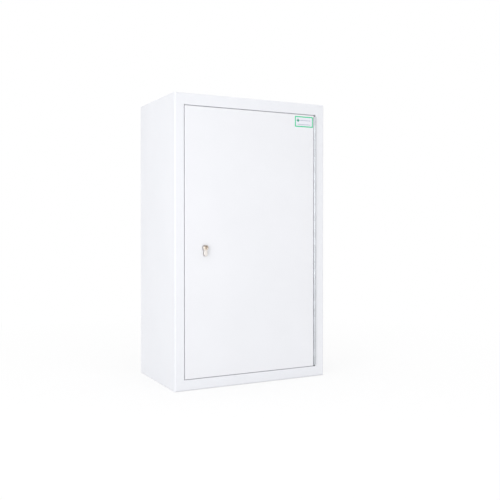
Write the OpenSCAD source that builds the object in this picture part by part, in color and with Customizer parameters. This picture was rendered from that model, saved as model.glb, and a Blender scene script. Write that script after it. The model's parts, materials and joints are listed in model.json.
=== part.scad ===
// Lockable steel medicine cabinet: a folded and welded wall cabinet with a flush double-skinned door
// on a continuous knuckle hinge, a half cylinder lock with a sliding bolt, and three shelves on clips.
// X runs to the right, Y from the front face to the wall, Z up from the base.
// The origin is the centre of the footprint.

/* [Cabinet] */
// Height of the cabinet
height = 850; // [700:10:1000]
// Width of the cabinet
width = 500; // [420:10:600]
// Depth from the front face to the wall
depth = 300; // [240:10:400]
// Thickness of the body sheet
body_t = 1.5; // [1.2:0.1:2]
// Outside radius of the long front edges
front_edge_r = 4; // [3:0.5:6]
// Outside radius of the body's other folds
body_fold_r = 2.5; // [2.2:0.1:3.5]
// Width of the front frame on each side of the door
side_margin = 29.5; // [28:0.5:40]
// Width of the front frame above the door
top_margin = 34; // [28:0.5:45]
// Width of the front frame below the door
bottom_margin = 31; // [28:0.5:45]
// Width of the stop lip behind the door's edge
stop_lip = 10; // [8:0.5:14]
// Width of the rear flanges that the back panel is welded to
rear_flange = 18; // [14:1:24]

/* [Wall fixing] */
// Diameter of the four wall fixing holes
fixing_hole_d = 9; // [6:0.5:12]
// Distance of the fixing holes from the cabinet's sides
fixing_inset_x = 75; // [50:5:120]
// Distance of the fixing holes from the top and the base
fixing_inset_z = 100; // [60:5:200]

/* [Shelves] */
// Upright slot that the lower shelf hangs in, counted from the base
lower_shelf_slot = 8; // [4:1:11]
// Upright slot that the middle shelf hangs in
middle_shelf_slot = 17; // [14:1:19]
// Upright slot that the upper shelf hangs in
upper_shelf_slot = 25; // [22:1:28]
// Thickness of the shelf sheet
shelf_t = 1.2; // [1:0.1:1.5]
// Depth of the turned-down front and rear edges
shelf_edge = 20; // [18:1:30]
// Width of the return under those edges
shelf_return = 10; // [6:1:15]
// Depth of the turned-down sides
shelf_side = 15; // [10:1:16]
// Outside radius of the shelf's folds
shelf_fold_r = 2; // [1.8:0.1:3]
// Gap between the stop lip and the shelf's front edge
shelf_setback = 12; // [8:1:30]
// Gap between the shelf's rear edge and the back panel
shelf_back_gap = 7; // [3:1:15]
// Width of the raised web of an upright
upright_w = 16; // [14:1:24]
// Width of each welded flange of an upright
upright_flange = 7; // [6:1:12]
// Rise of the web from the side wall
upright_rise = 6; // [6:0.5:9]
// Thickness of the upright's sheet
upright_t = 1.2; // [1:0.1:1.5]
// Outside radius of the upright's folds
upright_fold_r = 2; // [1.8:0.1:3]
// Distance of an upright's centre line from the shelf's front or rear edge
upright_inset = 40; // [30:5:70]
// Clearance above and below an upright
upright_end_gap = 18; // [10:1:40]
// Distance from slot to slot
slot_pitch = 25; // [20:1:30]
// Width of a slot
slot_w = 10; // [8:0.5:12]
// Height of a slot
slot_h = 4; // [3.5:0.5:6]
// Thickness of the shelf clip's strip
clip_t = 1.2; // [1:0.1:1.5]
// Length of the ledge that a shelf stands on
clip_ledge = 10; // [8:1:16]
// Height of the clip's hook behind the upright's web
clip_hook = 5; // [3:0.5:8]
// Distance from the clip's lower lug down to its ledge
clip_tail = 8; // [5:1:12]

/* [Door] */
// Gap above and below the door
door_gap = 1.5; // [1:0.1:3]
// Least clearance of the door's closing edge as it swings past the frame
swing_clearance = 0.42; // [0.3:0.02:1.5]
// Thickness of the whole door
door_depth = 30; // [29:0.5:34]
// Thickness of the door's front sheet
door_t = 1.2; // [1:0.1:1.5]
// Outside radius of the door's folds
door_fold_r = 2; // [1.7:0.1:3]
// Width of the returns that carry the liner
door_return = 12; // [9:1:16]
// Thickness of the door liner
liner_t = 1.2; // [1:0.1:1.5]
// Distance of the liner's edge from the door's edge
liner_inset = 2; // [2:0.5:5]
// Gap between the closed door and the stop lip
stop_gap = 1.5; // [1.2:0.1:3]
// Diameter of the rubber buffers on the stop lip
buffer_d = 6.5; // [5:0.5:7]
// Distance of the buffers from the top and the base
buffer_inset = 130; // [80:10:250]
// Width of the stiffener inside the door
stiffener_w = 60; // [40:5:90]
// Width of the stiffener's flanges
stiffener_flange = 14; // [10:1:20]
// Gap between the stiffener's ends and the door's returns
stiffener_end_gap = 4; // [2:1:20]
// Width of the label on the door
label_w = 65; // [40:1:90]
// Height of the label
label_h = 33; // [20:1:50]
// Thickness of the label
label_t = 0.2; // [0.1:0.05:0.4]
// Radius of the label's corners
label_r = 1.5; // [0.5:0.5:4]
// Distance of the label from the door's hinged edge
label_inset_x = 4; // [3.5:0.5:20]
// Distance of the label from the door's top edge
label_inset_z = 5.5; // [3.5:0.5:20]

/* [Hinge] */
// Outside diameter of the knuckles
knuckle_d = 7; // [6:0.25:9]
// Distance from one knuckle to the next
knuckle_pitch = 25; // [20:5:40]
// Gap between neighbouring knuckles
knuckle_play = 0.3; // [0.2:0.1:0.6]
// Thickness of the hinge leaves
leaf_t = 1.5; // [1.2:0.1:1.8]
// Width of a leaf from the pin's axis
leaf_w = 25; // [22:1:28]
// Gap between a knuckle and the edge of the leaf beside it
leaf_relief = 0.5; // [0.3:0.1:1]
// Gap at the end of the strip that is rolled into a knuckle
knuckle_seam = 0.3; // [0.2:0.1:0.5]
// Radial clearance of the pin in the knuckles
pin_clearance = 0.05; // [0.02:0.01:0.1]
// Distance of the pin's axis in front of the cabinet's face
pin_proud = 0.5; // [0.4:0.1:1.5]
// Diameter of the leaf rivets
rivet_d = 3.2; // [3:0.1:4]
// Diameter of a rivet's formed tail
rivet_tail_d = 5.1; // [4.6:0.1:6]
// Height of a rivet's formed tail
rivet_tail_h = 1.6; // [1:0.1:2.5]
// Distance from rivet to rivet
rivet_pitch = 100; // [60:5:150]
// Distance of the rivets from the pin's axis
rivet_offset = 15; // [12:1:19]

/* [Lock] */
// Height of the plug's centre above the base
lock_height = 408; // [300:1:520]
// Distance of the plug's centre from the door's closing edge
backset = 62; // [50:1:80]
// Length of the cylinder in front of the door
cylinder_proud = 8; // [5:0.5:11]
// Length of the cylinder from its front end to its fixing screw
cylinder_front = 30; // [28:0.5:33]
// Length of the cylinder from its fixing screw to its rear end
cylinder_rear = 10; // [9:0.5:14]
// Diameter of the cylinder's barrel
barrel_d = 17; // [17:0.5:17.5]
// Width of the cylinder's lower web
web_w = 10; // [9:0.5:11]
// Height of the whole cylinder profile
profile_h = 33; // [31:0.5:34]
// Diameter of the turning plug
plug_d = 13; // [11:0.5:14]
// Radial running clearance of the plug
plug_clearance = 0.05; // [0.02:0.01:0.1]
// Chamfer round the front of the cylinder and its plug
cylinder_chamfer = 0.5; // [0.2:0.1:0.8]
// Radius that the cam's tip sweeps
cam_r = 15; // [14:0.5:15]
// Clearance between the cam's tip and what it turns in
cam_clearance = 0.5; // [0.4:0.1:0.8]
// Diameter of the cam's hub
cam_hub_d = 15; // [14:0.5:16]
// Width of the cam's nose
cam_w = 8; // [6:0.5:9]
// Width of the keyway
keyway_w = 2.6; // [2:0.1:3.2]
// Height of the keyway
keyway_h = 8.6; // [7:0.1:9]
// Height of the bolt
bolt_h = 22; // [20:1:26]
// Gap between the cylinder's barrel and the bolt above it
bolt_gap = 1; // [0.5:0.5:1.5]
// Length of the bolt behind the cam
bolt_tail = 4; // [3:1:8]
// Travel of the bolt
bolt_throw = 14; // [8:0.5:16]
// Clearance of the bolt in the keeper slot
keeper_clearance = 1; // [0.5:0.1:2]
// Thickness of the keeper's reinforcing plate
keeper_t = 2; // [1.5:0.5:3]
// Width of the keeper plate on each side of the bolt, and half its reach above and below
keeper_border = 5; // [3:0.5:5]
// Thickness of the lock's forend
forend_t = 3; // [2.5:0.5:4]
// Thickness of the lock case's walls
case_wall = 1.5; // [1:0.1:2]
// Radius of the lock case's corners
case_r = 4; // [2.5:0.5:6]
// Space in the case below the cylinder
case_below = 7.5; // [5:0.5:12]
// Space in the case above the bolt
case_above = 18; // [16:0.5:24]
// Space in the case behind the bolt
case_behind = 5; // [3:0.5:10]
// Length of the forend above and below the case
forend_reach = 20; // [18:1:30]
// Width of the forend in front of the case
forend_border = 6.5; // [4:0.5:8]
// Room above and below the forend for fitting the lock
forend_room = 2; // [1:0.5:5]
// Radius of the corners of the forend and the keeper plate
plate_r = 3; // [2:0.5:4]
// Distance of the forend screws from the forend's ends
forend_screw_inset = 8; // [7:0.5:12]
// Length of the forend screws
forend_screw_length = 12; // [8:1:18]
// Length of the bolt's full-thickness head
bolt_head = 30; // [20:1:36]
// Diameter of the bolt's guide post and of the cover's posts
post_d = 6; // [5:0.5:6.5]
// Distance of the guide post from the plug's axis, towards the closing edge
guide_post_offset = 7; // [6:0.5:8]
// Distance of the cover's posts from the case's sides
cover_post_inset = 5; // [4.5:0.5:6]
// Diameter of the plug's tail inside the cam
tail_d = 8; // [6:0.5:9]
// Diameter of the cylinder's fixing screw and of the forend screws
lock_screw_d = 5; // [4:0.5:5]
// Diameter of the cover screws
cover_screw_d = 3; // [2.5:0.5:4]
// Head diameter of the countersunk screws and rivets, in shank diameters
countersink_ratio = 1.85; // [1.7:0.05:1.9]
// Thickness of the detent spring's strip
spring_t = 0.5; // [0.3:0.1:0.8]
// Distance of the detent spring's foot from the case's front wall
spring_inset = 10; // [6:1:14]
// Length of the detent spring's foot
spring_foot = 14; // [8:1:16]
// Distance of the detent from the plug's axis, towards the closing edge
detent_offset = 4; // [3:0.5:6]
// Width of a detent notch
detent_w = 5; // [4:0.5:6]
// Depth of a detent notch
detent_h = 2; // [1.5:0.25:2.5]

/* [Hidden] */

$fn = 48;
over = 1;             // how far a cutter runs past the face that it cuts
face_clearance = 0.3; // between parts that slide or stand next to each other
hole_fit = 0.1;       // a fastener's hole is this much wider than the fastener

// Cabinet frame: the opening in the front and the folds round it
left = -width / 2;
right = width / 2;
front = -depth / 2;
wall = depth / 2;
opening_left = left + side_margin;
opening_right = right - side_margin;
opening_bottom = bottom_margin;
opening_top = height - top_margin;
jamb_depth = door_depth + stop_gap + body_t;
top_slope = top_margin / side_margin;
bottom_slope = bottom_margin / side_margin;
mitre_reach = side_margin + stop_lip;
back_panel_inset = body_fold_r + face_clearance;
keeper_left = opening_left - body_t - keeper_t;

// Hinge: the pin's axis and the row of knuckles
pin_x = opening_right - knuckle_d / 2;
pin_y = front - pin_proud;
pin_bore_d = knuckle_d - 2 * leaf_t;
pin_d = pin_bore_d - 2 * pin_clearance;

// Door: its inner corner clears the frame as it swings past, and the gap is rounded up to 0.1 mm
swing_r = pin_x - opening_left - swing_clearance;
swing_reach = sqrt(pow(swing_r, 2) - pow(door_depth + pin_proud, 2));
closing_gap = ceil(10 * (pin_x - opening_left - swing_reach)) / 10;
door_left = opening_left + closing_gap;
door_right = pin_x - knuckle_d / 2;
door_bottom = opening_bottom + door_gap;
door_top = opening_top - door_gap;
door_w = door_right - door_left;
door_h = door_top - door_bottom;
door_mid_z = (door_top + door_bottom) / 2;
door_rear = front + door_depth;
liner_front = door_rear - liner_t;

knuckle_count = 2 * floor((door_h / knuckle_pitch - 1) / 2) + 1;
hinge_length = knuckle_count * knuckle_pitch;
hinge_bottom = door_mid_z - hinge_length / 2;
knuckle_clear = knuckle_d / 2 + leaf_relief;
rivet_count = 2 * floor((hinge_length - rivet_pitch) / (2 * rivet_pitch)) + 2;

// Lock: its own frame has the plug's axis along Y and the cam's middle plane at y = 0
plug_x = door_left + backset;
cam_y = front - cylinder_proud + cylinder_front;
case_half = liner_front - face_clearance - cam_y;
cavity_half = case_half - case_wall;
bolt_t = 2 * (cavity_half - face_clearance);
bolt_tail_t = bolt_t / 2;
bolt_bottom = barrel_d / 2 + bolt_gap;
bolt_top = bolt_bottom + bolt_h;
bolt_end = cam_r + bolt_tail;
screw_z = -(profile_h - barrel_d / 2 - web_w / 2);
profile_bottom = screw_z - web_w / 2;
cam_recess_r = cam_r + cam_clearance;
case_right = bolt_end + case_behind;
case_bottom = profile_bottom - case_below;
case_top = bolt_top + case_above;
forend_front = -backset + door_t;
case_left = forend_front + forend_t;
forend_bottom = case_bottom - forend_reach;
forend_top = case_top + forend_reach;
forend_w = 2 * case_half + forend_border;
post_x = -guide_post_offset;
post_z = (cam_recess_r + bolt_top - detent_h) / 2;
detent_x = -detent_offset;

// Shelves, uprights and clips
upright_bottom = body_t + upright_end_gap;
upright_top = height - body_t - upright_end_gap;
web_face = right - body_t - upright_rise;
first_slot_z = upright_bottom + slot_pitch / 2;
slot_count = floor((upright_top - first_slot_z - slot_h) / slot_pitch) + 1;
shelf_front = front + jamb_depth + shelf_setback;
shelf_rear = wall - 2 * body_t - shelf_back_gap;
clip_gap = face_clearance;
clip_fold_r = clip_t + clip_gap;
clip_face = web_face - clip_gap - clip_t;
clip_drop = slot_pitch + clip_tail;
shelf_right = clip_face - 2 * face_clearance;

// ---------- shared shapes ----------

// Extrudes a (y, z) outline along +X, an (x, z) outline along +Y or an (x, y) outline along +Z
module along_x(start, length) {
    translate([start, 0, 0]) rotate([90, 0, 90]) linear_extrude(length) children();
}

module along_y(start, length) {
    translate([0, start + length, 0]) rotate([90, 0, 0]) linear_extrude(length) children();
}

module along_z(start, length) {
    translate([0, 0, start]) linear_extrude(length) children();
}

module both_sides() {
    children();
    mirror([1, 0, 0]) children();
}

module in_lock_frame() {
    translate([plug_x, cam_y, lock_height]) children();
}

function unit(v) = v / norm(v);

function reversed(list) = [for (i = [len(list) - 1 : -1 : 0]) list[i]];

// A strip of sheet of thickness t along the mid-line path, folded at right angles.
// radii holds the outside radius of each fold in turn.
module folded_strip(path, radii, t) {
    last = len(path) - 1;
    trims = [for (i = [0 : last]) (i == 0 || i == last) ? 0 : radii[i - 1] - t / 2];
    for (i = [0 : last - 1]) {
        along = unit(path[i + 1] - path[i]);
        across = [-along.y, along.x] * t / 2;
        a = path[i] + along * trims[i];
        b = path[i + 1] - along * trims[i + 1];
        polygon([a - across, b - across, b + across, a + across]);
    }
    for (i = [1 : last - 1]) {
        into = unit(path[i] - path[i - 1]);
        out = unit(path[i + 1] - path[i]);
        centre = path[i] + (out - into) * trims[i];
        translate(centre) fold_arc(into, out, radii[i - 1], t);
    }
}

// A quarter ring that turns the strip from direction into to direction out
module fold_arc(into, out, r, t) {
    reach = 2 * r;
    intersection() {
        difference() {
            circle(r);
            circle(r - t);
        }
        polygon([[0, 0], into * reach, (into - out) * reach, -out * reach]);
    }
}

module rounded_rect(size, r) {
    difference() {
        square(size, center = true);
        for (sx = [-1, 1], sy = [-1, 1])
            scale([sx, sy])
                translate([size.x / 2 - r, size.y / 2 - r])
                    difference() {
                        square(r + over);
                        circle(r);
                    }
    }
}

// Ribbon of thickness t round an open path of any angles
module ribbon(path, t) {
    last = len(path) - 1;
    side = [for (i = [0 : last]) ribbon_offset(path, i, t / 2)];
    polygon(concat(
        [for (i = [0 : last]) path[i] + side[i]],
        reversed([for (i = [0 : last]) path[i] - side[i]])
    ));
}

function ribbon_offset(path, i, half) =
    let (last = len(path) - 1)
    let (before = unit(path[max(i, 1)] - path[max(i, 1) - 1]))
    let (after = unit(path[min(i, last - 1) + 1] - path[min(i, last - 1)]))
    let (normal = unit([-before.y - after.y, before.x + after.x]))
    normal * half / (normal * [-before.y, before.x]);

// Countersunk head with a 90 degree cone and its shank along +Z, the head's face at z = 0.
// fit widens both where the fastener's hole is cut.
module countersunk(d, length, fit = 0) {
    cylinder(h = head_height(d), d1 = head_diameter(d) + fit, d2 = d + fit);
    cylinder(h = length, d = d + fit);
}

function head_diameter(d) = countersink_ratio * d;
function head_height(d) = (head_diameter(d) - d) / 2;

// ---------- body ----------

// Point on the mitre line of a frame corner, s away from the side face
function top_mitre(s) = [left + s, height - s * top_slope];
function bottom_mitre(s) = [left + s, s * bottom_slope];
function flipped(p) = [-p.x, p.y];

module side_mitre_zone() {
    along_y(front - over, depth + 2 * over)
        polygon([
            bottom_mitre(-over), top_mitre(-over),
            top_mitre(mitre_reach + over), bottom_mitre(mitre_reach + over)
        ]);
}

module end_mitre_zone(outer, inner) {
    along_y(front - over, depth + 2 * over)
        polygon([outer, flipped(outer), flipped(inner), inner]);
}

// Section of a side wall, seen from above: stop lip, jamb, front face, wall and rear flange
module side_section() {
    mid = body_t / 2;
    lip_y = front + jamb_depth - mid;
    path = [
        [opening_left + stop_lip, lip_y],
        [opening_left - mid, lip_y],
        [opening_left - mid, front + mid],
        [left + mid, front + mid],
        [left + mid, wall - mid],
        [left + rear_flange, wall - mid]
    ];
    folded_strip(path, [body_fold_r, body_fold_r, front_edge_r, body_fold_r], body_t);
}

// Section of the top or the base as (y, distance from the outer face)
module end_section(margin) {
    mid = body_t / 2;
    lip_y = front + jamb_depth - mid;
    lip = stop_lip * margin / side_margin;
    path = [
        [lip_y, margin + lip],
        [lip_y, margin - mid],
        [front + mid, margin - mid],
        [front + mid, mid],
        [wall - mid, mid],
        [wall - mid, rear_flange]
    ];
    folded_strip(path, [body_fold_r, body_fold_r, front_edge_r, body_fold_r], body_t);
}

module side_panel() {
    intersection() {
        along_z(0, height) side_section();
        side_mitre_zone();
    }
}

// Opening through the jamb and its reinforcing plate that the thrown bolt enters
module keeper_slot() {
    size = [bolt_t, bolt_h] + [2, 2] * keeper_clearance;
    translate([0, cam_y, lock_height + bolt_bottom + bolt_h / 2])
        along_x(keeper_left - over, body_t + keeper_t + 2 * over) square(size, center = true);
}

module side_left() {
    color("ghostwhite")
        difference() {
            side_panel();
            keeper_slot();
        }
}

module side_right() {
    color("ghostwhite")
        difference() {
            mirror([1, 0, 0]) side_panel();
            rivet_row() frame_rivet_hole();
        }
}

module top_panel() {
    color("ghostwhite")
        intersection() {
            translate([0, 0, height]) mirror([0, 0, 1]) along_x(left, width) end_section(top_margin);
            end_mitre_zone(top_mitre(-over), top_mitre(mitre_reach + over));
        }
}

module bottom_panel() {
    color("ghostwhite")
        intersection() {
            along_x(left, width) end_section(bottom_margin);
            end_mitre_zone(bottom_mitre(-over), bottom_mitre(mitre_reach + over));
        }
}

module back_panel() {
    inset = back_panel_inset;
    color("whitesmoke")
        along_y(wall - 2 * body_t, body_t)
            difference() {
                translate([left + inset, inset]) square([width - 2 * inset, height - 2 * inset]);
                for (x = [left + fixing_inset_x, right - fixing_inset_x])
                    for (z = [fixing_inset_z, height - fixing_inset_z])
                        translate([x, z]) circle(d = fixing_hole_d);
            }
}

// Plate behind the jamb that takes the bolt's load
module keeper_plate() {
    size = [bolt_t + 2 * keeper_border, bolt_h + 4 * keeper_border];
    color("lightgray")
        difference() {
            translate([0, cam_y, lock_height + bolt_bottom + bolt_h / 2])
                along_x(keeper_left, keeper_t) rounded_rect(size, plate_r);
            keeper_slot();
        }
}

module door_buffers() {
    lip_y = front + jamb_depth - body_t;
    buffer_h = stop_gap - face_clearance;
    buffer_x = opening_left + (stop_lip + body_fold_r - body_t) / 2;
    color("dimgray")
        for (z = [buffer_inset, height - buffer_inset])
            translate([buffer_x, 0, z]) along_y(lip_y - buffer_h, buffer_h) circle(d = buffer_d);
}

// ---------- uprights, clips and shelves ----------

// Slotted upright on the right-hand wall, centred on y = 0
module upright() {
    mid = upright_t / 2;
    wall_x = right - body_t;
    half = upright_w / 2;
    path = [
        [wall_x - mid, -half - upright_flange],
        [wall_x - mid, -half + mid],
        [web_face + mid, -half + mid],
        [web_face + mid, half - mid],
        [wall_x - mid, half - mid],
        [wall_x - mid, half + upright_flange]
    ];
    color("whitesmoke")
        difference() {
            along_z(upright_bottom, upright_top - upright_bottom)
                folded_strip(path, [for (i = [1 : 4]) upright_fold_r], upright_t);
            for (i = [0 : slot_count - 1])
                translate([web_face - over, -slot_w / 2, first_slot_z + i * slot_pitch - slot_h / 2])
                    cube([upright_t + 2 * over, slot_w, slot_h]);
        }
}

module upright_front_right() {
    translate([0, shelf_front + upright_inset, 0]) upright();
}

module upright_rear_right() {
    translate([0, shelf_rear - upright_inset, 0]) upright();
}

module upright_front_left() {
    mirror([1, 0, 0]) upright_front_right();
}

module upright_rear_left() {
    mirror([1, 0, 0]) upright_rear_right();
}

// Height of the clip's top hook when it hangs in a slot, at the strip's mid-line
function hook_z(slot) = first_slot_z + slot * slot_pitch - slot_h / 2 + clip_t / 2;
function ledge_top_z(slot) = hook_z(slot) - clip_drop + clip_t / 2;
function shelf_top_z(slot) = ledge_top_z(slot) + shelf_side;

// Clip on the right-hand side: a hook behind the web, a face down to the ledge and a lower lug
module shelf_clip(slot) {
    mid = clip_t / 2;
    top = hook_z(slot);
    hook_x = web_face + upright_t + clip_gap + mid;
    path = [
        [hook_x, top + clip_hook],
        [hook_x, top],
        [clip_face + mid, top],
        [clip_face + mid, top - clip_drop],
        [clip_face + mid - clip_ledge, top - clip_drop]
    ];
    clip_w = slot_w - 2 * face_clearance;
    along_y(-clip_w / 2, clip_w) {
        folded_strip(path, [for (i = [1 : 3]) clip_fold_r], clip_t);
        translate([clip_face + clip_t, top - slot_pitch - mid])
            square([hook_x + mid - clip_face - clip_t, clip_t]);
    }
}

module shelf_clips(slot) {
    color("silver")
        for (y = [shelf_front + upright_inset, shelf_rear - upright_inset])
            translate([0, y, 0]) both_sides() shelf_clip(slot);
}

// Tray shelf: a deck whose front and rear edges turn down and under, and whose sides turn down
module shelf(slot) {
    mid = shelf_t / 2;
    deck_z = shelf_top_z(slot) - mid;
    return_z = deck_z - shelf_edge + shelf_t;
    side_z = shelf_top_z(slot) - shelf_side;
    relief = shelf_fold_r;
    long_path = [
        [shelf_front + shelf_return, return_z],
        [shelf_front + mid, return_z],
        [shelf_front + mid, deck_z],
        [shelf_rear - mid, deck_z],
        [shelf_rear - mid, return_z],
        [shelf_rear - shelf_return, return_z]
    ];
    side_path = [
        [mid - shelf_right, side_z],
        [mid - shelf_right, deck_z],
        [shelf_right - mid, deck_z],
        [shelf_right - mid, side_z]
    ];
    color("whitesmoke") {
        along_x(-shelf_right + relief, 2 * (shelf_right - relief))
            folded_strip(long_path, [for (i = [1 : 4]) shelf_fold_r], shelf_t);
        along_y(shelf_front + relief, shelf_rear - shelf_front - 2 * relief)
            folded_strip(side_path, [for (i = [1 : 2]) shelf_fold_r], shelf_t);
    }
}

module shelf_lower() {
    shelf(lower_shelf_slot);
}

module shelf_middle() {
    shelf(middle_shelf_slot);
}

module shelf_upper() {
    shelf(upper_shelf_slot);
}

module shelf_clips_lower() {
    shelf_clips(lower_shelf_slot);
}

module shelf_clips_middle() {
    shelf_clips(middle_shelf_slot);
}

module shelf_clips_upper() {
    shelf_clips(upper_shelf_slot);
}

// ---------- hinge ----------

// Section of the door leaf's knuckle about the pin's axis: the leaf rolled round the pin.
// The rolled end stops just short of the leaf.
module knuckle_section() {
    translate([-knuckle_d / 2, 0]) square([leaf_t, knuckle_clear]);
    difference() {
        circle(d = knuckle_d);
        circle(d = pin_bore_d);
        translate([-knuckle_d, 0]) square([knuckle_d / 2 + leaf_t + knuckle_seam, knuckle_d]);
    }
}

// Leaf on the door's side of the pin with every second knuckle from the first one given
module hinge_leaf(first) {
    half_play = knuckle_play / 2;
    translate([-knuckle_d / 2, knuckle_clear, hinge_bottom])
        cube([leaf_t, leaf_w - knuckle_clear, hinge_length]);
    for (i = [first : 2 : knuckle_count - 1])
        along_z(hinge_bottom + i * knuckle_pitch + half_play, knuckle_pitch - knuckle_play)
            knuckle_section();
}

module rivet_row() {
    for (i = [0 : rivet_count - 1])
        translate([0, 0, (i - (rivet_count - 1) / 2) * rivet_pitch])
            translate([pin_x, pin_y + rivet_offset, door_mid_z])
                children();
}

// Countersunk rivet from the leaf's open face outwards along +Z, its tail formed behind the sheet
module rivet(sheet_t) {
    grip = leaf_t + sheet_t;
    countersunk(rivet_d, grip + rivet_tail_h / 2);
    translate([0, 0, grip])
        cylinder(h = rivet_tail_h, d1 = rivet_tail_d, d2 = (rivet_tail_d + rivet_d) / 2);
}

module rivet_hole(sheet_t) {
    countersunk(rivet_d, leaf_t + sheet_t + over, hole_fit);
}

module on_frame_leaf() {
    translate([knuckle_d / 2 - leaf_t, 0, 0]) rotate([0, 90, 0]) children();
}

module on_door_leaf() {
    mirror([1, 0, 0]) on_frame_leaf() children();
}

module frame_rivet_hole() {
    on_frame_leaf() rivet_hole(body_t);
}

module door_rivet_hole() {
    on_door_leaf() rivet_hole(door_t);
}

module hinge_frame_leaf() {
    color("silver")
        difference() {
            translate([pin_x, pin_y, 0]) mirror([1, 0, 0]) hinge_leaf(0);
            rivet_row() frame_rivet_hole();
        }
}

module hinge_door_leaf() {
    color("silver")
        difference() {
            translate([pin_x, pin_y, 0]) hinge_leaf(1);
            rivet_row() door_rivet_hole();
        }
}

module hinge_frame_rivets() {
    color("gainsboro") rivet_row() on_frame_leaf() rivet(body_t);
}

module hinge_door_rivets() {
    color("gainsboro") rivet_row() on_door_leaf() rivet(door_t);
}

module hinge_pin() {
    color("darkgray") translate([pin_x, pin_y, hinge_bottom]) cylinder(h = hinge_length, d = pin_d);
}

// ---------- door ----------

// Everything between the faces of the door's front sheet, drawn in by inset.
// Its round edges meet in mitres at the corners.
module door_block(inset) {
    sheet_depth = liner_front - front - 2 * inset;
    fold_r = door_fold_r - inset;
    translate([(door_left + door_right) / 2, (front + liner_front) / 2, door_mid_z])
        intersection() {
            along_z(-door_h, 2 * door_h) rounded_rect([door_w - 2 * inset, sheet_depth], fold_r);
            along_x(-door_w, 2 * door_w) rounded_rect([sheet_depth, door_h - 2 * inset], fold_r);
        }
}

// Folded pan with mitred and welded corners, open at the back between its returns
module door_pan() {
    difference() {
        door_block(0);
        door_block(door_t);
        along_y(liner_front - door_t - over, door_t + 2 * over)
            translate([door_left + door_return, door_bottom + door_return])
                square([door_w - 2 * door_return, door_h - 2 * door_return]);
    }
}

module door_skin() {
    color("white")
        difference() {
            door_pan();
            in_lock_frame() {
                along_y(-cylinder_front, cylinder_front) cylinder_section(face_clearance);
                door_edge_cutouts();
            }
            rivet_row() door_rivet_hole();
        }
}

// Cut-outs of the closing edge: the bolt, the screws and the relief that lets the lock in
module door_edge_cutouts() {
    slot_w = bolt_t + 2 * face_clearance;
    slot_h = bolt_h + 2 * face_clearance;
    translate([0, -slot_w / 2, bolt_bottom - face_clearance])
        along_x(-backset - over, door_t + 2 * over) square([slot_w, slot_h]);
    edge_screw_positions() edge_screw_hole();
    translate([forend_front, -case_half, forend_bottom - forend_room])
        cube([
            door_return, 2 * case_half + face_clearance,
            forend_top - forend_bottom + 2 * forend_room
        ]);
}

module door_liner() {
    color("white")
        difference() {
            along_y(liner_front, liner_t)
                translate([door_left + liner_inset, door_bottom + liner_inset])
                    square([door_w - 2 * liner_inset, door_h - 2 * liner_inset]);
            in_lock_frame() along_y(0, cylinder_rear + over) cylinder_section(face_clearance);
        }
}

// Hat channel welded to the back of the door's front sheet
module door_stiffener() {
    mid = door_t / 2;
    skin_y = front + door_t;
    crown_y = liner_front - face_clearance;
    half = stiffener_w / 2;
    inset = door_return + stiffener_end_gap;
    path = [
        [-half - stiffener_flange, skin_y + mid],
        [-half + mid, skin_y + mid],
        [-half + mid, crown_y - mid],
        [half - mid, crown_y - mid],
        [half - mid, skin_y + mid],
        [half + stiffener_flange, skin_y + mid]
    ];
    centre_x = (plug_x + case_right + door_right) / 2;
    color("gainsboro")
        translate([centre_x, 0, 0])
            along_z(door_bottom + inset, door_h - 2 * inset)
                folded_strip(path, [for (i = [1 : 4]) door_fold_r], door_t);
}

module door_label() {
    color("mediumseagreen")
        translate([door_right - label_inset_x - label_w / 2, 0, door_top - label_inset_z - label_h / 2])
            along_y(front - label_t, label_t) rounded_rect([label_w, label_h], label_r);
}

// ---------- lock, in its own frame ----------

// Half cylinder profile, grown by a clearance: round barrel, parallel web and round foot
module cylinder_section(grow) {
    half = web_w / 2 + grow;
    circle(d = barrel_d + 2 * grow);
    translate([-half, screw_z]) square([2 * half, -screw_z]);
    intersection() {
        translate([0, screw_z]) circle(half);
        translate([-2 * half, screw_z - 2 * half]) square([4 * half, 2 * half]);
    }
}

// Rod of the cylinder's length backwards along +Y, its front edge chamfered
module chamfered_rod(d) {
    nose_d = d - 2 * cylinder_chamfer;
    translate([0, -cylinder_front, 0])
        rotate([-90, 0, 0]) {
            cylinder(h = cylinder_chamfer, d1 = nose_d, d2 = d);
            translate([0, 0, cylinder_chamfer])
                cylinder(h = cylinder_front + cylinder_rear - cylinder_chamfer, d = d);
        }
}

// The same profile as a solid with its front edge chamfered: barrel, web and the foot's lower half
module cylinder_blank() {
    half = web_w / 2;
    nose = half - cylinder_chamfer;
    shoulder = cylinder_chamfer - cylinder_front;
    chamfered_rod(barrel_d);
    along_z(screw_z, -screw_z)
        polygon([
            [-nose, -cylinder_front], [nose, -cylinder_front], [half, shoulder],
            [half, cylinder_rear], [-half, cylinder_rear], [-half, shoulder]
        ]);
    intersection() {
        translate([0, 0, screw_z]) chamfered_rod(web_w);
        translate([-web_w, -cylinder_front - over, screw_z - web_w])
            cube([2 * web_w, cylinder_front + cylinder_rear + 2 * over, web_w]);
    }
}

module cylinder_body() {
    color("silver")
        in_lock_frame()
            difference() {
                cylinder_blank();
                along_y(-cylinder_front - over, cylinder_front + over)
                    circle(d = plug_d + 2 * plug_clearance);
                along_y(-cavity_half, 2 * cavity_half) circle(cam_recess_r);
                translate([0, 0, screw_z]) along_x(-web_w, 2 * web_w) circle(d = lock_screw_d + hole_fit);
            }
}

// Keyway outline: a slot with one ward cut into each side
module keyway_section() {
    half_w = keyway_w / 2;
    half_h = keyway_h / 2;
    ward = keyway_w * 0.3;
    step = keyway_h / 6;
    polygon([
        [-half_w, -half_h], [half_w, -half_h],
        [half_w, -step], [half_w - ward, 0], [half_w, step],
        [half_w, half_h], [-half_w, half_h],
        [-half_w, 2 * step], [ward - half_w, step * 1.5], [-half_w, step]
    ]);
}

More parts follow.
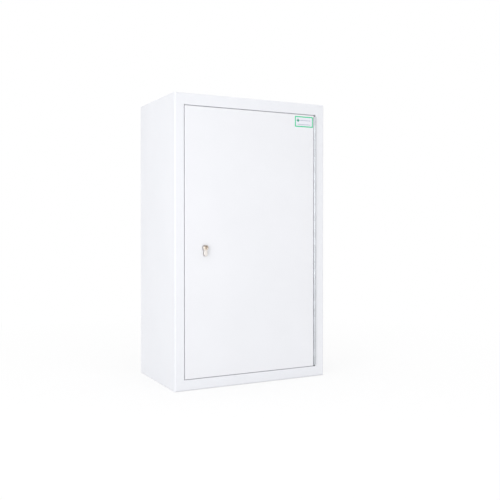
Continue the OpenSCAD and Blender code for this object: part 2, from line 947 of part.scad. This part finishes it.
module cylinder_plug() {
    plug_end = -cavity_half - plug_clearance;
    color("lightgray")
        in_lock_frame()
            difference() {
                rotate([-90, 0, 0])
                    rotate_extrude()
                        polygon([
                            [0, -cylinder_front],
                            [plug_d / 2 - cylinder_chamfer, -cylinder_front],
                            [plug_d / 2, cylinder_chamfer - cylinder_front],
                            [plug_d / 2, plug_end],
                            [tail_d / 2, plug_end], [tail_d / 2, cavity_half - face_clearance],
                            [0, cavity_half - face_clearance]
                        ]);
                along_y(-cylinder_front - over, cylinder_front - cavity_half - over)
                    keyway_section();
            }
}

module cylinder_cam() {
    cam_t = 2 * (cavity_half - face_clearance);
    color("gray")
        in_lock_frame()
            along_y(-cam_t / 2, cam_t)
                difference() {
                    union() {
                        circle(d = cam_hub_d);
                        intersection() {
                            circle(cam_r);
                            translate([-cam_w / 2, -2 * cam_r]) square([cam_w, 2 * cam_r]);
                        }
                    }
                    circle(d = tail_d + 2 * plug_clearance);
                }
}

// The cam passes above the bolt's lower edge while it is within this angle of straight up
cam_sweep = acos(bolt_bottom / cam_r) + asin(cam_w / 2 / cam_r);

// What the cam sweeps out of the bolt while the bolt slides evenly with the plug's turn.
// The middle is a hair lower than the two round ends, so that it meets them at an angle.
module cam_recess() {
    first = bolt_throw * (180 - cam_sweep) / 360;
    last = bolt_throw * (180 + cam_sweep) / 360;
    for (x = [first, last]) translate([x, 0]) circle(cam_recess_r);
    translate([first, 0]) square([last - first, cam_recess_r - cam_clearance / 5]);
}

// Slot for the guide post, and the two notches that the detent spring drops into
module bolt_cutouts() {
    slot_d = post_d + 2 * face_clearance;
    translate([post_x, post_z]) circle(d = slot_d);
    translate([post_x + bolt_throw, post_z]) circle(d = slot_d);
    translate([post_x, post_z - slot_d / 2]) square([bolt_throw, slot_d]);
    half_mouth = detent_w / 2 + over;
    mouth_z = bolt_top + over * 2 * detent_h / detent_w;
    for (x = [detent_x, detent_x + bolt_throw])
        polygon([[x - half_mouth, mouth_z], [x, bolt_top - detent_h], [x + half_mouth, mouth_z]]);
}

module lock_bolt() {
    color("silver")
        in_lock_frame() {
            along_y(-bolt_t / 2, bolt_t)
                translate([-backset, bolt_bottom]) square([bolt_head, bolt_h]);
            along_y(-bolt_tail_t / 2, bolt_tail_t)
                difference() {
                    translate([bolt_head - backset, bolt_bottom])
                        square([backset - bolt_head + bolt_end, bolt_h]);
                    cam_recess();
                    bolt_cutouts();
                }
        }
}

module case_outline() {
    size = [case_right - case_left, case_top - case_bottom];
    translate([case_left + size.x / 2, case_bottom + size.y / 2]) rounded_rect(size, case_r);
}

module cover_post_positions() {
    for (x = [case_left + cover_post_inset, case_right - cover_post_inset])
        for (z = [case_bottom + cover_post_inset, case_top - cover_post_inset])
            translate([x, 0, z]) children();
}

// Open tray: its floor faces the door's front sheet and its posts carry the cover
module lock_case() {
    color("lightsteelblue")
        in_lock_frame() {
            difference() {
                along_y(-case_half, 2 * case_half - case_wall) case_outline();
                along_y(-cavity_half, 2 * case_half) case_cavity();
                along_y(-case_half - over, case_wall + 2 * over) cylinder_section(face_clearance);
                translate([0, 0, screw_z])
                    along_x(case_left - over, 2 * case_wall + over)
                        circle(d = lock_screw_d + 2 * face_clearance);
                translate([0, -bolt_t / 2 - face_clearance, bolt_bottom - face_clearance])
                    along_x(case_left - over, 2 * case_wall + over)
                        square([bolt_t + 3 * face_clearance, bolt_h + 2 * face_clearance]);
            }
            difference() {
                cover_post_positions() along_y(-cavity_half, 2 * cavity_half) circle(d = post_d);
                cover_screw_holes();
            }
            translate([post_x, 0, post_z]) along_y(-cavity_half, 2 * cavity_half) circle(d = post_d);
        }
}

module case_cavity() {
    size = [case_right - case_left - 2 * case_wall, case_top - case_bottom - 2 * case_wall];
    translate([case_left + case_wall + size.x / 2, case_bottom + case_wall + size.y / 2])
        rounded_rect(size, case_r - case_wall);
}

module cover_screw_holes() {
    cover_post_positions()
        translate([0, case_half, 0])
            rotate([90, 0, 0])
                countersunk(cover_screw_d, case_half + over, hole_fit);
}

module lock_cover() {
    color("lightsteelblue")
        in_lock_frame()
            difference() {
                along_y(cavity_half, case_wall) case_outline();
                along_y(0, 2 * case_half) cylinder_section(face_clearance);
                cover_screw_holes();
            }
}

module lock_cover_screws() {
    color("silver")
        in_lock_frame()
            cover_post_positions()
                translate([0, case_half, 0])
                    rotate([90, 0, 0])
                        difference() {
                            countersunk(cover_screw_d, case_half);
                            screw_slot(cover_screw_d);
                        }
}

// Driver slot across the head of a screw of diameter d, half as deep as the head
module screw_slot(d) {
    head_d = head_diameter(d);
    slot = [2 * head_d, head_d / 6, head_height(d)];
    translate(-slot / 2) cube(slot);
}

// The forend screws at its two ends and the cylinder's fixing screw, seen on the door's edge
module forend_screw_positions() {
    for (z = [forend_bottom + forend_screw_inset, forend_top - forend_screw_inset])
        translate([-backset, case_half - forend_w / 2, z]) children();
}

module edge_screw_positions() {
    forend_screw_positions() children();
    translate([-backset, 0, screw_z]) children();
}

module edge_screw_hole() {
    rotate([0, 90, 0])
        countersunk(lock_screw_d, door_t + forend_t + over, hole_fit);
}

// Socket screw along +X, its hexagon as deep as its head
module edge_screw(length) {
    socket_d = 0.6 * lock_screw_d;
    rotate([0, 90, 0])
        difference() {
            countersunk(lock_screw_d, length);
            translate([0, 0, -over])
                cylinder(h = over + head_height(lock_screw_d), d = socket_d, $fn = 6);
        }
}

module lock_forend() {
    size = [forend_w, forend_top - forend_bottom];
    color("silver")
        in_lock_frame()
            difference() {
                translate([0, case_half - forend_w / 2, (forend_top + forend_bottom) / 2])
                    along_x(forend_front, forend_t) rounded_rect(size, plate_r);
                translate([0, -bolt_t / 2 - face_clearance, bolt_bottom - face_clearance])
                    along_x(forend_front - over, forend_t + 2 * over)
                        square([bolt_t + 2 * face_clearance, bolt_h + 2 * face_clearance]);
                edge_screw_positions() edge_screw_hole();
            }
}

module lock_forend_screws() {
    color("silver") in_lock_frame() forend_screw_positions() edge_screw(forend_screw_length);
}

module cylinder_screw() {
    color("silver")
        in_lock_frame()
            translate([-backset, 0, screw_z]) edge_screw(backset + web_w / 2 - face_clearance);
}

// Leaf spring: flat under the case's top wall, then down to a tip that sits in the bolt's notch
module lock_detent_spring() {
    foot_x = case_left + case_wall + spring_inset;
    mount_z = case_top - case_wall - spring_t / 2;
    tip_z = bolt_top - detent_h + face_clearance + spring_t;
    crest_z = bolt_top + detent_w / 2 + spring_t;
    path = [
        [foot_x, mount_z],
        [foot_x + spring_foot, mount_z],
        [detent_x - detent_w, crest_z],
        [detent_x, tip_z],
        [detent_x + detent_w, crest_z]
    ];
    color("slategray")
        in_lock_frame() along_y(-bolt_tail_t / 2, bolt_tail_t) ribbon(path, spring_t);
}

side_left();
side_right();
top_panel();
bottom_panel();
back_panel();
keeper_plate();
upright_front_left();
upright_rear_left();
upright_front_right();
upright_rear_right();
shelf_lower();
shelf_middle();
shelf_upper();
shelf_clips_lower();
shelf_clips_middle();
shelf_clips_upper();
door_buffers();
hinge_frame_leaf();
hinge_frame_rivets();
hinge_pin();
door_skin();
door_liner();
door_stiffener();
door_label();
hinge_door_leaf();
hinge_door_rivets();
lock_case();
lock_cover();
lock_cover_screws();
lock_forend();
lock_forend_screws();
lock_detent_spring();
cylinder_body();
cylinder_screw();
cylinder_plug();
cylinder_cam();
lock_bolt();
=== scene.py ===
"""Lockable steel medicine cabinet: finishes, label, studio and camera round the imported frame.

Metres, in the frame of the CAD part: X to the right, Y from the front face to the wall, Z up.
"""

import json
import math

import bmesh
import bpy
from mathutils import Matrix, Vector


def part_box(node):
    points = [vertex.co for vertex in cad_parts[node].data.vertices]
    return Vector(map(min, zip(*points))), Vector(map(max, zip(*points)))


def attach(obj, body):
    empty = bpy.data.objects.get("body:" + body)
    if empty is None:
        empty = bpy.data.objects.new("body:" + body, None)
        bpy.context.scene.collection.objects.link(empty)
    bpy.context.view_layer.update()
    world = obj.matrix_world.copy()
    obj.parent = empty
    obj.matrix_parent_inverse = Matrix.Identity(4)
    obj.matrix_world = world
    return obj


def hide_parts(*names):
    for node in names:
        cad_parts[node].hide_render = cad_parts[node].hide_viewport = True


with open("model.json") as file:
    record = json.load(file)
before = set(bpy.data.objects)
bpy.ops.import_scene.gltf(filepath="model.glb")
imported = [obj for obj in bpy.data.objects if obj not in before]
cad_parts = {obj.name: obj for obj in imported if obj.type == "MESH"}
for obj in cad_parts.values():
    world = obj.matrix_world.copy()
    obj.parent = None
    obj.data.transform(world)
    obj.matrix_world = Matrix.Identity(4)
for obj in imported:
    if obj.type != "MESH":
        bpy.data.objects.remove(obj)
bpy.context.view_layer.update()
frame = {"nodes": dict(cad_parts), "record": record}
nodes = frame["nodes"]

# Colours of the finishes, linear
BODY_WHITE = (0.838, 0.849, 0.886)
DOOR_WHITE = (0.844, 0.851, 0.884)
SHELF_WHITE = (0.830, 0.842, 0.862)
HINGE_STEEL = (0.545, 0.57, 0.60)
DOOR_LEAF_STEEL = (0.582, 0.607, 0.637)
ZINC = (0.66, 0.68, 0.71)
ZINC_BLUE_CAST = (0.60, 0.66, 0.76)
SPRING = (0.42, 0.44, 0.48)
NICKEL = (0.65, 0.615, 0.585)
PLUG = (0.69, 0.60, 0.50)
# Colour of the painted dark reflection on the lock
PAINTED_DARK_REFLECTION = (0.27, 0.21, 0.165)
RUBBER = (0.035, 0.036, 0.038)
RUBBER_DUST = (0.16, 0.16, 0.16)
LABEL_PAPER = (0.825, 0.83, 0.90)
LABEL_GREEN = (0.010, 0.61, 0.275)
LABEL_CROSS_GREEN = (0.010, 0.33, 0.20)
LABEL_RULE = (0.47, 0.51, 0.61)

# Most of a noise's values lie between these two
NOISE_LOW, NOISE_HIGH = 0.3, 0.7

# A mix node's sockets for colours
MIX_FIRST, MIX_SECOND, MIX_RESULT = 6, 7, 2

# Painted dark reflection on the lock, darkening it above and a little right of the plug's axis: its
# side of the axis, and how far out it starts and is full
PAINTED_REFLECTION_SIDE = (0.37, 0.0, 0.93)
PAINTED_REFLECTION_START, PAINTED_REFLECTION_FULL = -0.0005, 0.0035

# Label, with x and z from its centre
LABEL_BORDER = 0.0032
LABEL_CORNER_R = 0.0015
CORNER_STEPS = 6
LABEL_BEVEL = 0.0001  # round the film's front edge
INK_T = 0.00002
LABEL_RULES = ((-0.0140, 0.0235, 0.0040), (-0.0225, 0.0235, -0.0086))  # left, right, height
LABEL_RULE_T = 0.0021
LABEL_CROSS = (-0.0213, 0.0036, 0.0098, 0.0036)  # x, z, size, width of an arm
PAPER_SLOT, GREEN_SLOT, RULE_SLOT, CROSS_SLOT = range(4)

# Studio floor. It shows a share of its own shading near the origin, which fades out to white
FLOOR_Z = -0.0005
FLOOR_REACH = 5.0
FLOOR_SHADED = (0.92, 0.92, 0.92, 1.0)
FLOOR_BOUNCE = (0.72, 0.72, 0.72, 1.0)
SHADOW_SHARE = 0.30
SHADOW_NEAR, SHADOW_FAR = 0.35, 1.5

# Room light at the horizon and below, and what is added to it straight up
WHITE = (1.0, 1.0, 1.0, 1.0)
ROOM = 0.545
CEILING = 0.645

# Square lamps as name, place, side and watts
LAMP_TARGET = (0.0, -0.05, 0.45)
LAMPS = (
    ("key", (-2.4, -1.6, 0.7), 1.5, 25.6),
    ("front_fill", (0.2, -2.6, 0.7), 1.3, 6.8),
    ("right_fill", (2.6, 0.6, 1.2), 1.5, 3.2),
)

# Camera fitted to the cabinet's edges in the photo, with its angles in degrees
SENSOR_WIDTH = 36.0
LENS = 50.63
SHIFT_Y = -0.0349
CLIP_START = 0.05
CAMERA_PLACE = (-0.97165, -2.01065, 0.47743)
CAMERA_TILT_DOWN = 0.718
CAMERA_TURN = -27.31


# ---------- node helpers ----------


def scaled(colour, factor):
    return tuple(channel * factor for channel in colour)


class Nodes:
    """A new material's node tree with short calls for what the finishes below share."""

    def __init__(self, name):
        self.material = bpy.data.materials.new(name)
        self.material.use_nodes = True
        self.tree = self.material.node_tree
        self.tree.nodes.clear()
        self.output = self.add("ShaderNodeOutputMaterial")

    def add(self, kind, **settings):
        node = self.tree.nodes.new(kind)
        for key, value in settings.items():
            setattr(node, key, value)
        return node

    def link(self, source, target):
        self.tree.links.new(source, target)

    def place(self, stretch=(1, 1, 1)):
        """Coordinates of the piece in metres, stretched along its axes."""
        mapping = self.add("ShaderNodeMapping")
        mapping.inputs["Scale"].default_value = stretch
        self.link(self.add("ShaderNodeTexCoord").outputs["Object"], mapping.inputs["Vector"])
        return mapping.outputs["Vector"]

    def noise(self, scale, detail=3.0, rough=0.55, stretch=(1, 1, 1)):
        node = self.add("ShaderNodeTexNoise")
        node.inputs["Scale"].default_value = scale
        node.inputs["Detail"].default_value = detail
        node.inputs["Roughness"].default_value = rough
        self.link(self.place(stretch), node.inputs["Vector"])
        return node.outputs["Fac"]

    def vector_math(self, operation, first, second=None, result="Vector"):
        """One step with vectors. The first comes from a node and the second is constant."""
        node = self.add("ShaderNodeVectorMath", operation=operation)
        self.link(first, node.inputs[0])
        if second is not None:
            node.inputs[1].default_value = second
        return node.outputs[result]

    def spread(self, source, low, high, from_low=NOISE_LOW, from_high=NOISE_HIGH):
        """The source's range, from_low to from_high, mapped to low to high and kept inside it."""
        node = self.add("ShaderNodeMapRange")
        node.inputs["From Min"].default_value = from_low
        node.inputs["From Max"].default_value = from_high
        node.inputs["To Min"].default_value = low
        node.inputs["To Max"].default_value = high
        self.link(source, node.inputs["Value"])
        return node.outputs["Result"]

    def blend(self, factor, first, second):
        """A mix of two colours, each a plain tuple or a node's output."""
        node = self.add("ShaderNodeMix", data_type="RGBA")
        self.link(factor, node.inputs["Factor"])
        for socket, colour in ((MIX_FIRST, first), (MIX_SECOND, second)):
            if isinstance(colour, tuple):
                node.inputs[socket].default_value = (*colour, 1.0)
            else:
                self.link(colour, node.inputs[socket])
        return node.outputs[MIX_RESULT]

    def mottle(self, factor, colour, dark, light):
        """The colour times dark where the factor is 0, and times light where it is 1."""
        return self.blend(factor, scaled(colour, dark), scaled(colour, light))

    def bump(self, height, strength, distance, under=None):
        node = self.add("ShaderNodeBump")
        node.inputs["Strength"].default_value = strength
        node.inputs["Distance"].default_value = distance
        self.link(height, node.inputs["Height"])
        if under is not None:
            self.link(under, node.inputs["Normal"])
        return node.outputs["Normal"]

    def surface(self, colour, roughness, normal, **values):
        shader = self.add("ShaderNodeBsdfPrincipled")
        self.link(colour, shader.inputs["Base Color"])
        self.link(roughness, shader.inputs["Roughness"])
        self.link(normal, shader.inputs["Normal"])
        for key, value in values.items():
            shader.inputs[key].default_value = value
        self.link(shader.outputs["BSDF"], self.output.inputs["Surface"])
        return self.material


# ---------- finishes ----------


def powder_coat(name, colour, rough):
    """Baked powder paint on steel sheet: fine orange peel, faint unevenness and a dull bloom."""
    n = Nodes(name)
    peel = n.noise(scale=620, detail=2.0, rough=0.5)
    waves = n.noise(scale=26, detail=2.0)
    clouds = n.noise(scale=5.5, detail=4.0)
    bloom = n.noise(scale=34, detail=5.0, rough=0.62)
    tint = n.mottle(n.spread(clouds, 0, 1), colour, dark=0.985, light=1.01)
    roughness = n.spread(bloom, rough - 0.045, rough + 0.06)
    normal = n.bump(waves, strength=0.10, distance=0.0006)
    normal = n.bump(peel, strength=0.26, distance=0.00012, under=normal)
    return n.surface(tint, roughness, normal, IOR=1.5)


def rolled_steel(name, colour, rough=0.36, grain=(1, 1, 0.03)):
    """Rolled steel: its grain runs along the axis with the small factor, under cloudy patches."""
    n = Nodes(name)
    lines = n.noise(scale=900, detail=4.0, rough=0.6, stretch=grain)
    clouds = n.noise(scale=48, detail=4.0)
    tint = n.mottle(n.spread(clouds, 0, 1), colour, dark=0.90, light=1.05)
    tint = n.blend(n.spread(lines, 0, 0.35), tint, scaled(colour, 0.72))
    roughness = n.spread(lines, rough - 0.07, rough + 0.10)
    normal = n.bump(lines, strength=0.22, distance=0.00008)
    return n.surface(tint, roughness, normal, Metallic=1.0)


def zinc_plate(name, colour):
    """Bright zinc plating: small crystalline spangle and a faint blue cast."""
    n = Nodes(name)
    cells = n.add("ShaderNodeTexVoronoi", feature="F1")
    cells.inputs["Scale"].default_value = 420
    n.link(n.place(), cells.inputs["Vector"])
    spangle = n.spread(cells.outputs["Distance"], 0, 1, from_low=0.0, from_high=0.7)
    clouds = n.noise(scale=60, detail=4.0)
    tint = n.mottle(spangle, colour, dark=0.88, light=1.04)
    tint = n.blend(n.spread(clouds, 0, 0.4), tint, ZINC_BLUE_CAST)
    roughness = n.spread(clouds, 0.30, 0.46)
    normal = n.bump(n.noise(scale=1500, detail=2.0), strength=0.12, distance=0.00005)
    return n.surface(tint, roughness, normal, Metallic=1.0)


def turned_nickel(name, colour, rough, painted_reflection):
    """Turned nickel plate: rings round the plug's axis, scratches, and a painted dark reflection on
    one side.
    """
    n = Nodes(name)
    lo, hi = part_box("cylinder_plug")
    axis = ((lo.x + hi.x) / 2, 0, (lo.z + hi.z) / 2)
    coordinates = n.add("ShaderNodeTexCoord").outputs["Object"]
    from_axis = n.vector_math("SUBTRACT", coordinates, axis)
    across = n.vector_math("MULTIPLY", from_axis, (1, 0, 1))
    rings = n.add("ShaderNodeTexNoise", noise_dimensions="1D")
    rings.inputs["Scale"].default_value = 5200
    rings.inputs["Detail"].default_value = 2.0
    n.link(n.vector_math("LENGTH", across, result="Value"), rings.inputs["W"])
    scratches = n.noise(scale=260, detail=6.0, rough=0.7, stretch=(1, 1, 0.25))
    tint = n.mottle(n.spread(scratches, 0, 1), colour, dark=0.88, light=1.05)
    # Painted dark reflection: the colour darkens towards the upper right of the plug's axis
    side = n.vector_math("DOT_PRODUCT", from_axis, PAINTED_REFLECTION_SIDE, result="Value")
    painted_reflection_mask = n.add("ShaderNodeMath", operation="MULTIPLY")
    n.link(n.spread(side, 0, painted_reflection, PAINTED_REFLECTION_START, PAINTED_REFLECTION_FULL), painted_reflection_mask.inputs[0])
    n.link(n.spread(n.noise(scale=340), 0.75, 1.0), painted_reflection_mask.inputs[1])
    tint = n.blend(painted_reflection_mask.outputs[0], tint, PAINTED_DARK_REFLECTION)
    roughness = n.spread(scratches, rough - 0.06, rough + 0.12)
    normal = n.bump(rings.outputs["Fac"], strength=0.25, distance=0.00004)
    normal = n.bump(scratches, strength=0.10, distance=0.00006, under=normal)
    return n.surface(tint, roughness, normal, Metallic=1.0)


def rubber(name, colour):
    """Dull moulded rubber with a little dust."""
    n = Nodes(name)
    grain = n.noise(scale=1400)
    dust = n.noise(scale=120, detail=4.0)
    tint = n.blend(n.spread(dust, 0, 0.3), colour, RUBBER_DUST)
    roughness = n.spread(grain, 0.62, 0.80)
    return n.surface(tint, roughness, n.bump(grain, strength=0.3, distance=0.0001))


def printed_film(name, colour, rough=0.40):
    """Self-adhesive film, bare or under an even layer of ink, its surface very slightly uneven."""
    n = Nodes(name)
    speckle = n.noise(scale=700)
    waves = n.noise(scale=45, detail=2.0)
    tint = n.mottle(n.spread(speckle, 0, 1), colour, dark=0.95, light=1.03)
    roughness = n.spread(speckle, rough - 0.04, rough + 0.06)
    return n.surface(tint, roughness, n.bump(waves, strength=0.12, distance=0.0004))


# The finishes by the names of the record's slots
FINISHES = {
    "body_paint": powder_coat("body_paint", BODY_WHITE, rough=0.39),
    "door_paint": powder_coat("door_paint", DOOR_WHITE, rough=0.36),
    "shelf_paint": powder_coat("shelf_paint", SHELF_WHITE, rough=0.40),
    "hinge_steel": rolled_steel("hinge_steel", HINGE_STEEL),
    "zinc_plate": zinc_plate("zinc_plate", ZINC),
    "spring_steel": rolled_steel("spring_steel", SPRING, rough=0.28, grain=(0.05, 1, 1)),
    # Both lock parts carry the painted dark reflection, at full strength on the plug
    "cylinder_nickel": turned_nickel("cylinder_nickel", NICKEL, rough=0.30, painted_reflection=0.45),
    "plug_nickel": turned_nickel("plug_nickel", PLUG, rough=0.24, painted_reflection=1.0),
    "buffer_rubber": rubber("buffer_rubber", RUBBER),
    "label_paper": printed_film("label_paper", LABEL_PAPER, rough=0.38),
}


def paint(node, material):
    obj = nodes[node]
    if not obj.material_slots:
        obj.data.materials.append(material)
    for slot in obj.material_slots:
        slot.link = "OBJECT"
        slot.material = material


# ---------- label ----------


def rounded_corners(half_w, half_h, r):
    """Outline of a rounded rectangle, as (x, z), anticlockwise from its lower right corner."""
    points = []
    for side_x, side_z, start in ((1, -1, -90), (1, 1, 0), (-1, 1, 90), (-1, -1, 180)):
        centre_x, centre_z = side_x * (half_w - r), side_z * (half_h - r)
        for i in range(CORNER_STEPS + 1):
            angle = math.radians(start + 90 * i / CORNER_STEPS)
            points.append((centre_x + r * math.cos(angle), centre_z + r * math.sin(angle)))
    return points


def cross_outline(x, z, size, arm):
    """Outline of an upright cross with equal arms, as (x, z), anticlockwise."""
    far, near = size / 2, arm / 2
    quarter = [(far, -near), (far, near), (near, near)]
    points = []
    for turn in range(4):
        for u, v in quarter:
            for _ in range(turn):
                u, v = -v, u
            points.append((x + u, z + v))
    return points


def build_label():
    """Film with a printed frame, a plain cross and two plain rules, the rest left bare."""
    lo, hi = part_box("door_label")
    centre = (lo + hi) / 2
    half_w, half_h = (hi.x - lo.x) / 2, (hi.z - lo.z) / 2
    front_y, back_y = lo.y, hi.y
    film_y = front_y + INK_T
    bm = bmesh.new()

    def ring(points, y):
        return [bm.verts.new((centre.x + x, y, centre.z + z)) for x, z in points]

    def bridge(first, second, slot):
        count = len(first)
        for i in range(count):
            j = (i + 1) % count
            bm.faces.new((first[i], first[j], second[j], second[i])).material_index = slot

    def outline(corners):
        return [bm.edges.get((corners[i - 1], corners[i])) for i in range(len(corners))]

    def print_shape(points, slot):
        """A thin raised layer of ink. Returns the edges on which it stands on the film."""
        top, base = ring(points, front_y), ring(points, film_y)
        bm.faces.new(top).material_index = slot
        bridge(base, top, slot)
        return outline(base)

    whole = rounded_corners(half_w, half_h, LABEL_CORNER_R)
    flat = rounded_corners(half_w - LABEL_BEVEL, half_h - LABEL_BEVEL, LABEL_CORNER_R - LABEL_BEVEL)
    field = rounded_corners(half_w - LABEL_BORDER, half_h - LABEL_BORDER, LABEL_CORNER_R / 2)
    back = ring(whole, back_y)
    side = ring(whole, front_y + LABEL_BEVEL)
    rim = ring(flat, film_y)
    inside = ring(field, film_y)
    bm.faces.new(list(reversed(back))).material_index = PAPER_SLOT
    bridge(side, back, PAPER_SLOT)
    bridge(rim, side, GREEN_SLOT)
    bridge(inside, rim, GREEN_SLOT)
    bare = outline(inside)
    for left, right, height in LABEL_RULES:
        low, high = height - LABEL_RULE_T / 2, height + LABEL_RULE_T / 2
        bare += print_shape([(left, low), (right, low), (right, high), (left, high)], RULE_SLOT)
    bare += print_shape(cross_outline(*LABEL_CROSS), CROSS_SLOT)
    bmesh.ops.triangle_fill(bm, edges=bare, normal=(0, -1, 0))
    bmesh.ops.recalc_face_normals(bm, faces=bm.faces)
    mesh = bpy.data.meshes.new("label_film")
    bm.to_mesh(mesh)
    bm.free()
    for material in (
        FINISHES["label_paper"],
        printed_film("label_green", LABEL_GREEN),
        printed_film("label_rule", LABEL_RULE),
        printed_film("label_cross", LABEL_CROSS_GREEN),
    ):
        mesh.materials.append(material)
    label = bpy.data.objects.new("label_film", mesh)
    bpy.context.scene.collection.objects.link(label)
    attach(label, "door")
    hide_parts("door_label")


# Each CAD node takes the finish of its slot in the record
node_slots = {part["node"]: part["material_slot"] for part in frame["record"]["subparts"]}
for name in nodes:
    paint(name, FINISHES[node_slots[name]])
# Every second knuckle is lighter in the photo, so the hinge's two leaves differ slightly in tone
paint("hinge_door_leaf", rolled_steel("hinge_door_leaf_steel", DOOR_LEAF_STEEL))
build_label()


# ---------- studio ----------


def seen_directly(tree):
    """1 for what the camera, gloss and clear film see, 0 for light that falls on the object."""
    rays = tree.nodes.new("ShaderNodeLightPath")
    total = rays.outputs["Is Camera Ray"]
    for kind in ("Is Glossy Ray", "Is Transmission Ray"):
        either = tree.nodes.new("ShaderNodeMath")
        either.operation = "MAXIMUM"
        tree.links.new(total, either.inputs[0])
        tree.links.new(rays.outputs[kind], either.inputs[1])
        total = either.outputs[0]
    return total


def build_floor():
    """Pale floor. Seen directly it keeps the cabinet's shadow and runs out to white."""
    n = Nodes("studio_floor")
    shaded = n.add("ShaderNodeBsdfDiffuse")
    shaded.inputs["Color"].default_value = FLOOR_SHADED
    bounce = n.add("ShaderNodeBsdfDiffuse")
    bounce.inputs["Color"].default_value = FLOOR_BOUNCE
    white = n.add("ShaderNodeEmission")
    white.inputs["Strength"].default_value = 1.0
    position = n.add("ShaderNodeNewGeometry").outputs["Position"]
    distance = n.vector_math("LENGTH", position, result="Value")
    share = n.spread(distance, SHADOW_SHARE, 0.0, SHADOW_NEAR, SHADOW_FAR)
    seen = n.add("ShaderNodeMixShader")
    n.link(share, seen.inputs["Fac"])
    n.link(white.outputs[0], seen.inputs[1])
    n.link(shaded.outputs[0], seen.inputs[2])
    floor_shader = n.add("ShaderNodeMixShader")
    n.link(seen_directly(n.tree), floor_shader.inputs["Fac"])
    n.link(bounce.outputs[0], floor_shader.inputs[1])
    n.link(seen.outputs[0], floor_shader.inputs[2])
    n.link(floor_shader.outputs[0], n.output.inputs["Surface"])
    corners = [
        (x * FLOOR_REACH, y * FLOOR_REACH, FLOOR_Z)
        for x, y in ((-1, -1), (1, -1), (1, 1), (-1, 1))
    ]
    mesh = bpy.data.meshes.new("studio_floor")
    mesh.from_pydata(corners, [], [(0, 1, 2, 3)])
    mesh.materials.append(n.material)
    floor = bpy.data.objects.new("studio_floor", mesh)
    bpy.context.scene.collection.objects.link(floor)


def build_world():
    """White behind the object, and a soft room light that grows brighter towards the ceiling."""
    world = bpy.data.worlds.new("studio")
    bpy.context.scene.world = world
    world.use_nodes = True
    tree = world.node_tree
    tree.nodes.clear()

    def background(strength):
        node = tree.nodes.new("ShaderNodeBackground")
        node.inputs["Color"].default_value = WHITE
        node.inputs["Strength"].default_value = strength
        return node

    direction = tree.nodes.new("ShaderNodeTexCoord").outputs["Generated"]
    height = tree.nodes.new("ShaderNodeSeparateXYZ")
    tree.links.new(direction, height.inputs[0])
    gradient = tree.nodes.new("ShaderNodeMapRange")
    gradient.inputs["To Min"].default_value = ROOM
    gradient.inputs["To Max"].default_value = ROOM + CEILING
    tree.links.new(height.outputs["Z"], gradient.inputs["Value"])
    room, white = background(ROOM), background(1.0)
    tree.links.new(gradient.outputs["Result"], room.inputs["Strength"])
    mix = tree.nodes.new("ShaderNodeMixShader")
    tree.links.new(seen_directly(tree), mix.inputs["Fac"])
    tree.links.new(room.outputs[0], mix.inputs[1])
    tree.links.new(white.outputs[0], mix.inputs[2])
    output = tree.nodes.new("ShaderNodeOutputWorld")
    tree.links.new(mix.outputs[0], output.inputs["Surface"])


def softbox(name, place, side, watts):
    lamp = bpy.data.lights.new(name, "AREA")
    lamp.shape = "SQUARE"
    lamp.size = side
    lamp.energy = watts
    obj = bpy.data.objects.new(name, lamp)
    obj.location = place
    aim = Vector(LAMP_TARGET) - Vector(place)
    obj.rotation_euler = aim.to_track_quat("-Z", "Y").to_euler()
    bpy.context.scene.collection.objects.link(obj)


build_floor()
build_world()
for lamp_values in LAMPS:
    softbox(*lamp_values)


# ---------- camera ----------

camera_data = bpy.data.cameras.new("camera")
camera_data.sensor_fit = "HORIZONTAL"
camera_data.sensor_width = SENSOR_WIDTH
camera_data.lens = LENS
camera_data.shift_y = SHIFT_Y
camera_data.clip_start = CLIP_START
camera = bpy.data.objects.new("camera", camera_data)
camera.location = CAMERA_PLACE
camera.rotation_euler = (math.radians(90 - CAMERA_TILT_DOWN), 0.0, math.radians(CAMERA_TURN))
bpy.context.scene.collection.objects.link(camera)
bpy.context.scene.camera = camera
bpy.context.scene.view_settings.view_transform = "Standard"
